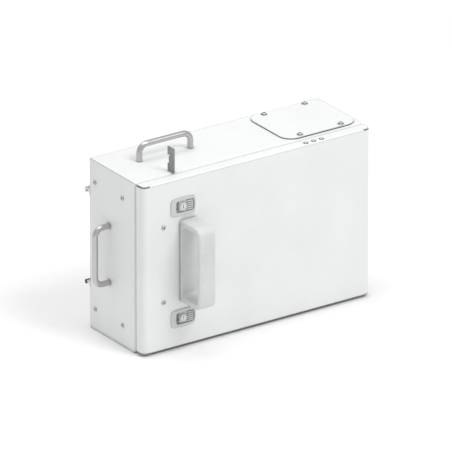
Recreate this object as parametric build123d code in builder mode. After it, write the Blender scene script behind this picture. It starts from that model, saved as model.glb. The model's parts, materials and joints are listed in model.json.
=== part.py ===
"""Portable lithium battery box: sheet-steel case, hinged door with slide latches, handles and cell module.

Frame: X to the right, Y to the back, Z up, origin at the centre of the case's flat bottom. Millimetres.
"""

import os

from build123d import *

os.makedirs("parts", exist_ok=True)

# ---------------------------------------------------------------- driving dimensions
case_width = 540
case_depth = 160
case_height = 360
sheet = 1.5
front_bend = 13
back_flange = 24

door_depth = 24
door_bottom = 5
door_side_bend = 12
door_top_bend = 4.4
door_gap = 1
corner_relief = 1.2
bend_setback = 1.2
bend_stop = 4

bar_spacing = 120
bar_radius = 6
bar_reach = 33.5
bar_bend = 17.5

latch_x = -176
latch_heights = {"upper": 300.6, "lower": 64.8}
latch_travel = 8

hinge_heights = {"upper": 297, "lower": 68}
hinge_x = case_width / 2 + 4.5
knuckle_radius = 4
pin_radius = 2
running_gap = 0.06
pin_fit = 0.02

cell_count = 8
cell_width = 36
cell_depth = 130
cell_height = 200
cell_gap = 1

# Places that follow from the sizes above.
left = -case_width / 2
right = case_width / 2
back = case_depth / 2
top = case_height
door_back = -case_depth / 2
door_front = door_back - door_depth
door_inside = door_front + sheet
door_middle = (door_bottom + top) / 2
case_front = door_back + door_gap
inner_right = right - sheet
inner_back = back - sheet
inner_top = top - sheet

# Metric fasteners: shank radius, head radius, head height.
m4 = (2, 3.8, 2.2)
m5 = (2.5, 4.75, 2.75)
m6 = (3, 5.5, 4)
hole_gap = 0.1

OUT_LEFT = (-1, 0, 0)
OUT_RIGHT = (1, 0, 0)
OUT_FRONT = (0, -1, 0)
OUT_BACK = (0, 1, 0)
UP = (0, 0, 1)
DOWN = (0, 0, -1)


# ---------------------------------------------------------------- helpers
def front_plane(x, y, z):
    """Plane seen from the front: X to the right, Z up, extruding towards the front."""
    return Plane(origin=(x, y, z), x_dir=(1, 0, 0), z_dir=(0, -1, 0))


def block(low, high, mode=Mode.ADD):
    """Box between two opposite corners."""
    size = [b - a for a, b in zip(low, high)]
    middle = [(a + b) / 2 for a, b in zip(low, high)]
    with Locations(tuple(middle)):
        Box(*size, mode=mode)


def rod(start, direction, radius, length, mode=Mode.ADD):
    """Round bar that starts at a point and runs along a direction."""
    with BuildSketch(Plane(origin=start, z_dir=direction)) as end:
        Circle(radius)
    extrude(end.sketch, amount=length, mode=mode)


def hexagon_bar(start, direction, across_flats, length):
    """Hexagonal bar that starts at a point and runs along a direction."""
    with BuildSketch(Plane(origin=start, z_dir=direction)) as end:
        RegularPolygon(across_flats / 2, 6, major_radius=False)
    extrude(end.sketch, amount=length)


def along(point, direction, distance):
    """Point moved along a direction."""
    return tuple(p + d * distance for p, d in zip(point, direction))


def button_screw(seat, outward, size, length):
    """Domed socket-head screw whose head sits on seat and whose shank runs the other way."""
    shank, head, height = size
    inward = tuple(-d for d in outward)
    with BuildSketch(Plane(origin=seat, z_dir=outward)) as base:
        Circle(head)
    extrude(base.sketch, amount=height, taper=24)
    rod(seat, inward, shank, length)
    socket = along(seat, outward, height * 0.4)
    with BuildSketch(Plane(origin=socket, z_dir=outward)) as key:
        RegularPolygon(shank * 0.62, 6, major_radius=False)
    extrude(key.sketch, amount=height, mode=Mode.SUBTRACT)


def hex_nut(seat, direction, size):
    """Hexagon nut with its clearance hole, standing on seat."""
    shank = size[0]
    hexagon_bar(seat, direction, shank * 3.3, shank * 1.6)
    rod(seat, direction, shank + hole_gap / 2, shank * 1.6, mode=Mode.SUBTRACT)


def rounded_case(inset, rear):
    """Case form moved in by inset on every wall but the rear one, with its front edges rounded."""
    half_width = case_width / 2 - inset
    front = case_front + inset
    length = rear - front
    middle = (rear + front) / 2
    with BuildPart() as form:
        with BuildSketch(Plane.XY.offset(inset)):
            with Locations((0, middle)):
                Rectangle(2 * half_width, length)
            fillet(vertices().group_by(Axis.Y)[0], front_bend - inset)
        extrude(amount=case_height - 2 * inset)
        with BuildSketch(Plane.YZ.offset(-half_width)):
            with Locations((middle, case_height / 2)):
                Rectangle(length, case_height - 2 * inset)
            fillet(vertices().group_by(Axis.X)[0], front_bend - inset)
        extrude(amount=2 * half_width, mode=Mode.INTERSECT)
    return form.part


def plate(plane, width, height, radius, thickness, mode=Mode.ADD):
    """Rounded rectangular plate standing on a plane."""
    with BuildSketch(plane) as outline:
        RectangleRounded(width, height, radius)
    extrude(outline.sketch, amount=thickness, mode=mode)


# ---------------------------------------------------------------- case
opening_left = -216
opening_right = 246
opening_bottom = 24
opening_top = 336
opening_middle = ((opening_left + opening_right) / 2, (opening_bottom + opening_top) / 2)

cover_centre = (180, 3)
cover_size = (172, 144)
cover_corner = 27
cover_opening = (150, 104)
opening_corner = 15
cover_screw_reach = (48.5, 62)
cover_screws = [
    (cover_centre[0] + side * cover_screw_reach[0], cover_centre[1] + end * cover_screw_reach[1])
    for side in (-1, 1)
    for end in (-1, 1)
]
rivet_nut_radius = 3.5

side_handle_y = 13.3
side_handle_feet = [(left, side_handle_y, case_height / 2 + s * bar_spacing / 2) for s in (-1, 1)]
top_handle_x = -139
top_handle_y = 13
top_handle_feet = [(top_handle_x + s * bar_spacing / 2, top_handle_y, top) for s in (-1, 1)]

side_screws = [(left, y, z) for y in (-33, 62.4) for z in (45.3, 314.6)]
back_screws = [(x, z) for x in (-261, 0, 261) for z in (9, 180, 351) if (x, z) != (0, 180)]

lug_x = -177.3
lug_thickness = 3
lug_slot = (-65, -56)

wall_bracket_x = 254
hook_screws = (252, 299)
spacer_screws = (62, 97)

hinge_screw_y = -54
hinge_screw_z = 18
leaf = 2
leaf_half = 30
knuckle_split = 10
knuckle_play = 0.2

outer_form = rounded_case(0, back)
inner_form = rounded_case(sheet, back + sheet)

with BuildPart() as body_shell:
    add(outer_form)
    add(inner_form, mode=Mode.SUBTRACT)
    # Flange around the back that the back panel is screwed to.
    block((left, inner_back - sheet, 0), (right, inner_back, top))
    block(
        (left + sheet + back_flange, inner_back - 2 * sheet, sheet + back_flange),
        (right - sheet - back_flange, back, top - sheet - back_flange),
        mode=Mode.SUBTRACT,
    )
    front_size = (opening_right - opening_left, opening_top - opening_bottom)
    behind_front = front_plane(opening_middle[0], case_front + front_bend - 4, opening_middle[1])
    plate(behind_front, *front_size, 10, 20, mode=Mode.SUBTRACT)
    below_cover = Plane.XY.offset(inner_top - 5).move(Location((*cover_centre, 0)))
    plate(below_cover, *cover_opening, opening_corner, 10, mode=Mode.SUBTRACT)
    for x, y in cover_screws:
        rod((x, y, inner_top - 1), UP, rivet_nut_radius + hole_gap / 2, 5, mode=Mode.SUBTRACT)
    for foot in side_handle_feet:
        rod(along(foot, OUT_LEFT, 1), OUT_RIGHT, m6[0] + hole_gap, 5, mode=Mode.SUBTRACT)
    for foot in top_handle_feet:
        rod(along(foot, UP, 1), DOWN, m6[0] + hole_gap, 5, mode=Mode.SUBTRACT)
    for seat in side_screws:
        rod(along(seat, OUT_LEFT, 1), OUT_RIGHT, m5[0] + hole_gap, 5, mode=Mode.SUBTRACT)
    for x, z in back_screws:
        rod((x, back + 1, z), OUT_FRONT, m4[0] + hole_gap, 6, mode=Mode.SUBTRACT)
    for side in (-1, 1):
        for z in (*hook_screws, *spacer_screws):
            rod((side * wall_bracket_x, back + 1, z), OUT_FRONT, m5[0] + hole_gap, 6, mode=Mode.SUBTRACT)
    for height in hinge_heights.values():
        for s in (-1, 1):
            start = (right + 1, hinge_screw_y, height + s * hinge_screw_z)
            rod(start, OUT_LEFT, m5[0] + hole_gap, 5, mode=Mode.SUBTRACT)
    block(
        (lug_x - lug_thickness / 2, lug_slot[0], inner_top - 1),
        (lug_x + lug_thickness / 2, lug_slot[1], top + 1),
        mode=Mode.SUBTRACT,
    )
body_shell.part.label = "body_shell"
export_step(body_shell.part, "parts/body_shell.step")

panel_play = 0.25
with BuildPart() as back_panel:
    block(
        (left + sheet + panel_play, inner_back, sheet + panel_play),
        (inner_right - panel_play, back, inner_top - panel_play),
    )
    fillet(edges().filter_by(Axis.Y), 2)
    for x, z in back_screws:
        rod((x, back + 1, z), OUT_FRONT, m4[0] + hole_gap, 6, mode=Mode.SUBTRACT)
    for side in (-1, 1):
        for z in (*hook_screws, *spacer_screws):
            rod((side * wall_bracket_x, back + 1, z), OUT_FRONT, m5[0] + hole_gap, 6, mode=Mode.SUBTRACT)
back_panel.part.label = "back_panel"
export_step(back_panel.part, "parts/back_panel.step")

with BuildPart() as back_panel_screws:
    for x, z in back_screws:
        button_screw((x, back, z), OUT_BACK, m4, 4.8)
back_panel_screws.part.label = "back_panel_screws"
export_step(back_panel_screws.part, "parts/back_panel_screws.step")

# ---------------------------------------------------------------- rear hooks and spacers
bracket_half = 12
bracket_base = 4
arm_half = 6
arm_end = 33


def bracket_plate(x, low, high, screw_heights):
    """Base plate of a rear bracket, with its screw holes."""
    middle = (low + high) / 2
    base_plane = Plane(origin=(x, back, middle), x_dir=(1, 0, 0), z_dir=OUT_BACK)
    plate(base_plane, 2 * bracket_half, high - low, 3, bracket_base)
    for z in screw_heights:
        rod((x, back - 1, z), OUT_BACK, m5[0] + hole_gap, bracket_base + 2, mode=Mode.SUBTRACT)


arm_start = back + bracket_base - 0.5
for name, side in (("left", -1), ("right", 1)):
    x = side * wall_bracket_x
    with BuildPart() as wall_hook:
        bracket_plate(x, 245, 306, hook_screws)
        with BuildSketch(Plane.YZ.offset(x - arm_half)) as hook_profile:
            with BuildLine():
                Polyline(
                    (arm_start + 18, 282),
                    (back + arm_end - 4, 282),
                    (back + arm_end - 4, 276),
                    (back + arm_end, 276),
                    (back + arm_end, 286),
                    (arm_start, 286),
                    (arm_start, 262),
                )
                RadiusArc((arm_start, 262), (arm_start + 18, 282), -48)
            make_face()
            outer = vertices().filter_by_position(Axis.X, back + arm_end - 1, back + arm_end + 1)
            fillet(outer, 1.6)
        extrude(hook_profile.sketch, amount=2 * arm_half)
    wall_hook.part.label = f"{name}_wall_hook"
    export_step(wall_hook.part, f"parts/{name}_wall_hook.step")

    with BuildPart() as wall_spacer:
        bracket_plate(x, 55, 104, spacer_screws)
        with BuildSketch(Plane.YZ.offset(x - arm_half)) as spacer_profile:
            with BuildLine():
                Polyline(
                    (arm_start + 16, 84),
                    (back + arm_end - 5, 84),
                    (back + arm_end - 5, 89),
                    (arm_start, 89),
                    (arm_start, 68),
                )
                RadiusArc((arm_start, 68), (arm_start + 16, 84), -40)
            make_face()
        extrude(spacer_profile.sketch, amount=2 * arm_half)
    wall_spacer.part.label = f"{name}_wall_spacer"
    export_step(wall_spacer.part, f"parts/{name}_wall_spacer.step")

with BuildPart() as case_screws:
    for side in (-1, 1):
        for z in (*hook_screws, *spacer_screws):
            button_screw((side * wall_bracket_x, back + bracket_base, z), OUT_BACK, m5, 14)
            hex_nut((side * wall_bracket_x, inner_back - sheet, z), OUT_FRONT, m5)
    for height in hinge_heights.values():
        for s in (-1, 1):
            z = height + s * hinge_screw_z
            button_screw((right + leaf, hinge_screw_y, z), OUT_RIGHT, m5, 10)
            hex_nut((inner_right, hinge_screw_y, z), OUT_LEFT, m5)
    for seat in side_screws:
        button_screw(seat, OUT_LEFT, m5, 12)
case_screws.part.label = "case_screws"
export_step(case_screws.part, "parts/case_screws.step")

# ---------------------------------------------------------------- bar handles
for name, feet, outward in (("side", side_handle_feet, OUT_LEFT), ("top", top_handle_feet, UP)):
    with BuildPart() as bar_handle:
        with BuildLine() as bar_path:
            tops = [along(foot, outward, bar_reach) for foot in feet]
            FilletPolyline(feet[0], *tops, feet[1], radius=bar_bend)
        with BuildSketch(Plane(origin=feet[0], z_dir=outward)):
            Circle(bar_radius)
        sweep(path=bar_path.wires()[0])
        for foot in feet:
            rod(foot, outward, m6[0] + hole_gap / 2, 16, mode=Mode.SUBTRACT)
    bar_handle.part.label = f"{name}_handle"
    export_step(bar_handle.part, f"parts/{name}_handle.step")

washer = 1.2
with BuildPart() as bar_handle_screws:
    for feet, outward in ((side_handle_feet, OUT_LEFT), (top_handle_feet, UP)):
        inward = tuple(-d for d in outward)
        for foot in feet:
            inside = along(foot, inward, sheet)
            rod(inside, inward, m6[1] + 2, washer)
            rod(along(inside, inward, washer), inward, m6[1], m6[2])
            rod(along(inside, inward, washer), outward, m6[0], 15)
            rod(along(inside, inward, washer + m6[2]), outward, m6[0] * 0.8, 2.5, mode=Mode.SUBTRACT)
bar_handle_screws.part.label = "bar_handle_screws"
export_step(bar_handle_screws.part, "parts/bar_handle_screws.step")

# ---------------------------------------------------------------- module bracket inside the left wall
bracket_front = -61
with BuildPart() as module_bracket:
    block((left + sheet, bracket_front, 36), (left + 2 * sheet + 0.5, 74, 324))
    block((left + sheet, bracket_front, 36), (-236, bracket_front + 2, 200))
    for seat in side_screws:
        rod((left + sheet, seat[1], seat[2]), OUT_RIGHT, m5[0] * 2, 6)
    for seat in side_screws:
        rod((left, seat[1], seat[2]), OUT_RIGHT, m5[0] + hole_gap, 10, mode=Mode.SUBTRACT)
    for foot in side_handle_feet:
        rod(foot, OUT_RIGHT, 12, 6, mode=Mode.SUBTRACT)
module_bracket.part.label = "module_bracket"
export_step(module_bracket.part, "parts/module_bracket.step")

# ---------------------------------------------------------------- service cover on the top
gasket_thickness = 1.2
cover_thickness = 1.6
cover_plane = Plane.XY.offset(top).move(Location((*cover_centre, 0)))

with BuildPart() as service_cover_gasket:
    plate(cover_plane, *cover_size, cover_corner, gasket_thickness)
    plate(cover_plane, *cover_opening, opening_corner, gasket_thickness, mode=Mode.SUBTRACT)
    for x, y in cover_screws:
        rod((x, y, top), UP, rivet_nut_radius + 1.8, gasket_thickness, mode=Mode.SUBTRACT)
service_cover_gasket.part.label = "service_cover_gasket"
export_step(service_cover_gasket.part, "parts/service_cover_gasket.step")

cover_top = top + gasket_thickness + cover_thickness
with BuildPart() as service_cover:
    plate(cover_plane.offset(gasket_thickness), *cover_size, cover_corner, cover_thickness)
    fillet(edges().group_by(Axis.Z)[-1], 0.6)
    for x, y in cover_screws:
        rod((x, y, top), UP, m5[0] + hole_gap, 5, mode=Mode.SUBTRACT)
service_cover.part.label = "service_cover"
export_step(service_cover.part, "parts/service_cover.step")

with BuildPart() as service_cover_screws:
    for x, y in cover_screws:
        rod((x, y, cover_top), UP, 6.5, 1)
        button_screw((x, y, cover_top + 1), UP, m5, 14)
service_cover_screws.part.label = "service_cover_screws"
export_step(service_cover_screws.part, "parts/service_cover_screws.step")

with BuildPart() as service_cover_rivet_nuts:
    for x, y in cover_screws:
        rod((x, y, top), UP, rivet_nut_radius + 1.5, 0.8)
        rod((x, y, top), DOWN, rivet_nut_radius, 11)
        rod((x, y, top + 2), DOWN, m5[0] + hole_gap / 2, 15, mode=Mode.SUBTRACT)
service_cover_rivet_nuts.part.label = "service_cover_rivet_nuts"
export_step(service_cover_rivet_nuts.part, "parts/service_cover_rivet_nuts.step")

# ---------------------------------------------------------------- upright lug behind the door's top edge
lug_front = -76
lug_back = -55
lug_height = 51
lug_clear = 0.4
notch_low = top + 15
notch_high = top + 33
notch_depth = 4.3
with BuildPart() as tether_lug:
    with BuildSketch(Plane.YZ.offset(lug_x - lug_thickness / 2)) as lug_profile:
        with BuildLine():
            Polyline(
                (lug_front, top + lug_clear),
                (lug_slot[0], top + lug_clear),
                (lug_slot[0], top - 14),
                (lug_slot[1], top - 14),
                (lug_slot[1], top + lug_clear),
                (lug_back, top + lug_clear),
                (lug_back, notch_low),
                (lug_back - notch_depth, notch_low),
                (lug_back - notch_depth, notch_high),
                (lug_back, notch_high),
                (lug_back, top + lug_height),
                (lug_front, top + lug_height),
                close=True,
            )
        make_face()
        with Locations((lug_back - notch_depth - 1, notch_low), (lug_back - notch_depth - 1, notch_high)):
            Circle(2.4, mode=Mode.SUBTRACT)
    extrude(lug_profile.sketch, amount=lug_thickness)
tether_lug.part.label = "tether_lug"
export_step(tether_lug.part, "parts/tether_lug.step")

# ---------------------------------------------------------------- door
flange_end = case_width / 2 - door_side_bend - bend_stop
led_places = [(x, -95.3) for x in (120.6, 139.1, 157.6)]
led_sleeve = 4
front_handle_x = -164
front_handle_feet = (106, 266)
door_screws_at = [(-221.5, z) for z in (106.6, 265.4)]
latch_body = (54, 30)
latch_body_corner = 2.7


def door_footprint(inset):
    """Plan outline of the door, moved in by inset at its sides and front, which is rounded."""
    depth = door_depth - inset
    with BuildSketch() as outline:
        with Locations((0, door_back - depth / 2)):
            Rectangle(case_width - 2 * inset, depth)
        fillet(vertices().group_by(Axis.Y)[0], door_side_bend - inset)
    return outline.sketch


outer_footprint = door_footprint(0)
inner_footprint = door_footprint(sheet)
flange_footprint = door_footprint(bend_setback)

with BuildPart() as door_panel:
    # Front sheet and the two side flanges, which stop short of the top and bottom flanges.
    side_low = door_bottom + sheet + corner_relief
    side_high = top - sheet - corner_relief
    with BuildSketch(Plane.XY.offset(side_low)):
        add(outer_footprint)
        add(inner_footprint, mode=Mode.SUBTRACT)
    extrude(amount=side_high - side_low)
    for plane_z, sign in ((top, 1), (door_bottom, -1)):
        # Folded flange with its bend.
        with BuildSketch(Plane.YZ.offset(-flange_end)) as fold:
            with BuildLine():
                FilletPolyline(
                    (door_front + sheet / 2, plane_z - sign * 12),
                    (door_front + sheet / 2, plane_z - sign * sheet / 2),
                    (door_back, plane_z - sign * sheet / 2),
                    radius=door_top_bend - sheet / 2,
                )
                offset(amount=sheet / 2, side=Side.BOTH)
            make_face()
        extrude(fold.sketch, amount=2 * flange_end)
        # Flat flange ends, which follow the side bends across the relief slots.
        with BuildSketch(Plane.XY.offset(min(plane_z, plane_z - sign * sheet))) as ends:
            add(flange_footprint)
            with Locations((0, door_back)):
                Rectangle(2 * flange_end - 2, 4 * door_depth, mode=Mode.SUBTRACT)
        extrude(ends.sketch, amount=sheet)
    block((left - 1, door_back, 0), (right + 1, door_back + 2, top + 1), mode=Mode.SUBTRACT)
    for height in latch_heights.values():
        cutout = (latch_body[0] + 0.6, latch_body[1] + 0.6)
        cutout_plane = front_plane(latch_x, door_inside + 1, height)
        plate(cutout_plane, *cutout, latch_body_corner + 0.3, 5, mode=Mode.SUBTRACT)
    for z in front_handle_feet:
        rod((front_handle_x, door_front - 1, z), OUT_BACK, m6[0] + hole_gap, 5, mode=Mode.SUBTRACT)
    for x, z in door_screws_at:
        rod((x, door_front - 1, z), OUT_BACK, m5[0] + hole_gap, 5, mode=Mode.SUBTRACT)
    for x, y in led_places:
        rod((x, y, top + 1), DOWN, led_sleeve + hole_gap / 2, 5, mode=Mode.SUBTRACT)
door_panel.part.label = "door_panel"
export_step(door_panel.part, "parts/door_panel.step")

frame_width = 22
frame_front = door_back - 4
frame_back = frame_front + sheet
pan_size = (case_width - 2 * sheet, top - door_bottom - 2 * sheet)
with BuildPart() as door_inner_frame:
    plate(front_plane(0, frame_back, door_middle), *pan_size, 1, sheet)
    inner_frame_size = (pan_size[0] - 2 * frame_width - 1, pan_size[1] - 2 * frame_width)
    plate(front_plane(0, frame_back, door_middle), *inner_frame_size, 8, sheet, mode=Mode.SUBTRACT)
door_inner_frame.part.label = "door_inner_frame"
export_step(door_inner_frame.part, "parts/door_inner_frame.step")

gasket_width = 9
gasket_clear = 0.4
gasket_depth = case_front - gasket_clear - frame_back
gasket_size = (512, 332)
with BuildPart() as door_gasket:
    gasket_plane = front_plane(0, frame_back + gasket_depth, case_height / 2)
    plate(gasket_plane, *gasket_size, 10, gasket_depth)
    inner_gasket = (gasket_size[0] - 2 * gasket_width, gasket_size[1] - 2 * gasket_width)
    plate(gasket_plane, *inner_gasket, 3, gasket_depth, mode=Mode.SUBTRACT)
door_gasket.part.label = "door_gasket"
export_step(door_gasket.part, "parts/door_gasket.step")

stiffener_x = (-232, -211)
with BuildPart() as door_stiffener:
    block((stiffener_x[0], door_inside, 22), (stiffener_x[1], door_inside + 8.5, 343))
    block(
        (stiffener_x[0] + sheet, door_inside + sheet, 21),
        (stiffener_x[1] - sheet, door_inside + 10, 344),
        mode=Mode.SUBTRACT,
    )
    for x, z in door_screws_at:
        rod((x, door_inside, z), OUT_BACK, m5[0] * 2, 6)
    for x, z in door_screws_at:
        rod((x, door_inside - 1, z), OUT_BACK, m5[0] + hole_gap, 10, mode=Mode.SUBTRACT)
door_stiffener.part.label = "door_stiffener"
export_step(door_stiffener.part, "parts/door_stiffener.step")

with BuildPart() as door_screws:
    for x, z in door_screws_at:
        button_screw((x, door_front, z), OUT_FRONT, m5, 10)
door_screws.part.label = "door_screws"
export_step(door_screws.part, "parts/door_screws.step")

# ---------------------------------------------------------------- bridge handle on the door
grip_width = 39
grip_low = 100
grip_high = 272
grip_reach = 68
leg_thickness = 12
grip_thickness = 9.5
handle_base = 7
with BuildPart() as front_handle:
    with BuildSketch(Plane.YZ.offset(front_handle_x - grip_width / 2)) as grip_profile:
        with Locations((door_front - grip_reach / 2, (grip_low + grip_high) / 2)):
            Rectangle(grip_reach, grip_high - grip_low)
        fillet(vertices().group_by(Axis.X)[0], 17)
        finger_room = grip_reach - grip_thickness - handle_base
        with BuildSketch(mode=Mode.SUBTRACT):
            with Locations((door_front - handle_base - finger_room / 2, (grip_low + grip_high) / 2)):
                Rectangle(finger_room, grip_high - grip_low - 2 * leg_thickness)
            fillet(vertices(), 7)
    extrude(grip_profile.sketch, amount=grip_width)
    side_faces = faces().filter_by(Plane.YZ)
    rim = side_faces.edges().filter_by(lambda edge: edge.center().Y < door_front - 0.1)
    fillet(rim, 3.5)
    for z in front_handle_feet:
        rod((front_handle_x, door_front, z), OUT_FRONT, m6[0] + hole_gap / 2, 18, mode=Mode.SUBTRACT)
front_handle.part.label = "front_handle"
export_step(front_handle.part, "parts/front_handle.step")

with BuildPart() as front_handle_screws:
    for z in front_handle_feet:
        inside = (front_handle_x, door_inside, z)
        rod(inside, OUT_BACK, m6[1] + 3, washer)
        rod(along(inside, OUT_BACK, washer), OUT_BACK, m6[1], m6[2])
        rod(along(inside, OUT_BACK, washer), OUT_FRONT, m6[0], 17)
        rod(along(inside, OUT_BACK, washer + m6[2]), OUT_FRONT, m6[0] * 0.8, 2.5, mode=Mode.SUBTRACT)
front_handle_screws.part.label = "front_handle_screws"
export_step(front_handle_screws.part, "parts/front_handle_screws.step")

# ---------------------------------------------------------------- indicators in the door's top flange
lens_radius = 3.4
with BuildPart() as led_bezels:
    for x, y in led_places:
        rod((x, y, top), UP, led_sleeve + 1, 0.6)
        rod((x, y, top), DOWN, led_sleeve, 6)
        rod((x, y, top + 1), DOWN, lens_radius + hole_gap / 2, 8, mode=Mode.SUBTRACT)
led_bezels.part.label = "led_bezels"
export_step(led_bezels.part, "parts/led_bezels.step")

board_top = top - 8
with BuildPart() as led_lenses:
    for x, y in led_places:
        rod((x, y, board_top), UP, lens_radius, top - board_top + 0.8)
    fillet(edges().group_by(Axis.Z)[-1], 0.9)
led_lenses.part.label = "led_lenses"
export_step(led_lenses.part, "parts/led_lenses.step")

with BuildPart() as led_board:
    block((111, -99, board_top - 1.6), (167, -87, board_top))
    block((111, -99, board_top), (113, -87, inner_top))
    block((165, -99, board_top), (167, -87, inner_top))
led_board.part.label = "led_board"
export_step(led_board.part, "parts/led_board.step")

# ---------------------------------------------------------------- slide latches
bezel_height = 2
recess_floor = door_front + 4
floor_back = recess_floor + sheet
housing_back = -70
bolt_front = case_front + sheet + 0.5
bolt_back = bolt_front + 6
plug_x = latch_x - 1
plug_radius = 4.62
plug_hole = plug_radius + 0.08
keyway = (1.4, 6.4, 8)
bolt_end = opening_left + latch_travel / 2


def barrel_outline(plane, half_x, half_z, bulge_x, bulge_z, corner, shift=0):
    """Four-sided outline with gently bowed sides and small rounded corners."""
    with BuildSketch(plane) as outline:
        with BuildLine():
            a = (shift - half_x, half_z)
            b = (shift + half_x, half_z)
            c = (shift + half_x, -half_z)
            d = (shift - half_x, -half_z)
            ThreePointArc(a, (shift, half_z + bulge_z), b)
            ThreePointArc(b, (shift + half_x + bulge_x, 0), c)
            ThreePointArc(c, (shift, -half_z - bulge_z), d)
            ThreePointArc(d, (shift - half_x - bulge_x, 0), a)
        make_face()
        fillet(vertices(), corner)
    return outline.sketch


for name, height in latch_heights.items():
    with BuildPart() as latch_housing:
        bezel = barrel_outline(front_plane(latch_x, door_front, height), 27.3, 17.3, 1.9, 1.8, 4.5)
        extrude(bezel, amount=bezel_height)
        fillet(edges().group_by(Axis.Y)[0], 1.2)
        housing_plane = front_plane(latch_x, housing_back, height)
        plate(housing_plane, *latch_body, latch_body_corner, housing_back - door_front)
        floor_plane = front_plane(latch_x, recess_floor, height)
        window = barrel_outline(floor_plane, 19.6, 11.8, 2.2, 0.6, 2.5, shift=4.1)
        extrude(window, amount=20, mode=Mode.SUBTRACT)
        block(
            (latch_x - 25.5, floor_back, height - 13.5),
            (latch_x + 25.5, housing_back + 1, height + 13.5),
            mode=Mode.SUBTRACT,
        )
        block(
            (latch_x - 16.4, recess_floor - 1, height - 7),
            (latch_x + 17.4, floor_back + 1, height + 7),
            mode=Mode.SUBTRACT,
        )
        block(
            (latch_x - 28, bolt_front - 0.3, height - 9.3),
            (latch_x - 25, housing_back + 1, height + 9.3),
            mode=Mode.SUBTRACT,
        )
    latch_housing.part.label = f"{name}_latch_housing"
    export_step(latch_housing.part, f"parts/{name}_latch_housing.step")

    slide_back = recess_floor - 0.3
    slide_front = slide_back - 3
    with BuildPart() as latch_slide:
        thumb_plane = front_plane(latch_x, slide_back, height)
        thumb = barrel_outline(thumb_plane, 15.2, 11.3, 2.2, 0.6, 2.2, shift=7.9)
        extrude(thumb, amount=3)
        for step in range(-2, 3):
            with BuildSketch(front_plane(latch_x + 16, slide_front + 0.1, height + step * 4.4)) as rib:
                SlotOverall(15 - abs(step) * 0.5, 2.2)
            extrude(rib.sketch, amount=2.8)
        rod((plug_x, slide_front + 0.1, height), OUT_FRONT, 8, 4.4)
        rod((plug_x, slide_back - 0.1, height), OUT_BACK, 6.5, 12.3)
        # Shutter behind the floor, which keeps the slot closed but for 1 mm at the end of the travel.
        block((latch_x - 16.4, floor_back + 0.5, height - 9), (latch_x + 24.4, floor_back + 2, height + 9))
        block((latch_x + 9, slide_back - 0.1, height - 5), (latch_x + 16.5, bolt_front + 0.1, height + 5))
        block((bolt_end, bolt_front, height - 9), (latch_x + 21, bolt_back, height + 9))
        nose = edges().filter_by(Axis.Z).filter_by_position(Axis.X, bolt_end - 0.5, bolt_end + 0.5)
        chamfer(nose, 1.2)
        rod((plug_x, door_front - 10, height), OUT_BACK, plug_hole, 30, mode=Mode.SUBTRACT)
    latch_slide.part.label = f"{name}_latch_slide"
    export_step(latch_slide.part, f"parts/{name}_latch_slide.step")

    plug_face = slide_front - 4.5
    cam_front = slide_back + 12.5
    with BuildPart() as lock_plug:
        rod((plug_x, plug_face, height), OUT_BACK, plug_radius, cam_front + 2.5 - plug_face)
        block((plug_x - 12, cam_front, height - 2.5), (plug_x, cam_front + 2.5, height + 2.5))
        block(
            (plug_x - keyway[0] / 2, plug_face - 1, height - keyway[1] / 2),
            (plug_x + keyway[0] / 2, plug_face + keyway[2], height + keyway[1] / 2),
            mode=Mode.SUBTRACT,
        )
    lock_plug.part.label = f"{name}_lock_plug"
    export_step(lock_plug.part, f"parts/{name}_lock_plug.step")

with BuildPart() as latch_clips:
    for height in latch_heights.values():
        clip_plane = front_plane(latch_x, door_inside + 3, height)
        plate(clip_plane, latch_body[0] + 8, latch_body[1] + 8, 3, 3)
        plate(clip_plane, *latch_body, 1.5, 3, mode=Mode.SUBTRACT)
latch_clips.part.label = "latch_clips"
export_step(latch_clips.part, "parts/latch_clips.step")

# ---------------------------------------------------------------- hinges on the right
pin_head = 1.8
body_leaf_front = door_back + 4.6
body_leaf_back = -38
door_leaf_front = -91
door_leaf_back = door_back - 4.6
outer_knuckle = knuckle_split + knuckle_play
inner_knuckle = knuckle_split - knuckle_play
for name, height in hinge_heights.items():
    with BuildPart() as body_leaf:
        low, high = height - leaf_half, height + leaf_half
        block((right, body_leaf_front, low), (right + leaf, body_leaf_back, high))
        for start, end in ((low, height - outer_knuckle), (height + outer_knuckle, high)):
            rod((hinge_x, door_back, start), UP, knuckle_radius, end - start)
            block((right, door_back + 0.5, start), (right + leaf, body_leaf_front, end))
            rod((hinge_x, door_back, start), UP, pin_radius + pin_fit, end - start, mode=Mode.SUBTRACT)
        for s in (-1, 1):
            start = (right - 1, hinge_screw_y, height + s * hinge_screw_z)
            rod(start, OUT_RIGHT, m5[0] + hole_gap, 5, mode=Mode.SUBTRACT)
    body_leaf.part.label = f"{name}_hinge_body_leaf"
    export_step(body_leaf.part, f"parts/{name}_hinge_body_leaf.step")

    with BuildPart() as door_leaf:
        low, high = height - inner_knuckle, height + inner_knuckle
        leaf_top = height + leaf_half
        block((right, door_leaf_front, height - leaf_half), (right + leaf, door_leaf_back, leaf_top))
        block((right, door_leaf_back, low), (right + leaf, door_back - 0.5, high))
        rod((hinge_x, door_back, low), UP, knuckle_radius, high - low)
        rod((hinge_x, door_back, low), UP, pin_radius + running_gap, high - low, mode=Mode.SUBTRACT)
    door_leaf.part.label = f"{name}_hinge_door_leaf"
    export_step(door_leaf.part, f"parts/{name}_hinge_door_leaf.step")

    with BuildPart() as hinge_pin:
        rod((hinge_x, door_back, height - leaf_half), UP, pin_radius, 2 * leaf_half)
        rod((hinge_x, door_back, height - leaf_half - pin_head), UP, knuckle_radius - 0.8, pin_head)
        rod((hinge_x, door_back, height + leaf_half), UP, knuckle_radius - 0.8, pin_head)
    hinge_pin.part.label = f"{name}_hinge_pin"
    export_step(hinge_pin.part, f"parts/{name}_hinge_pin.step")

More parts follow.
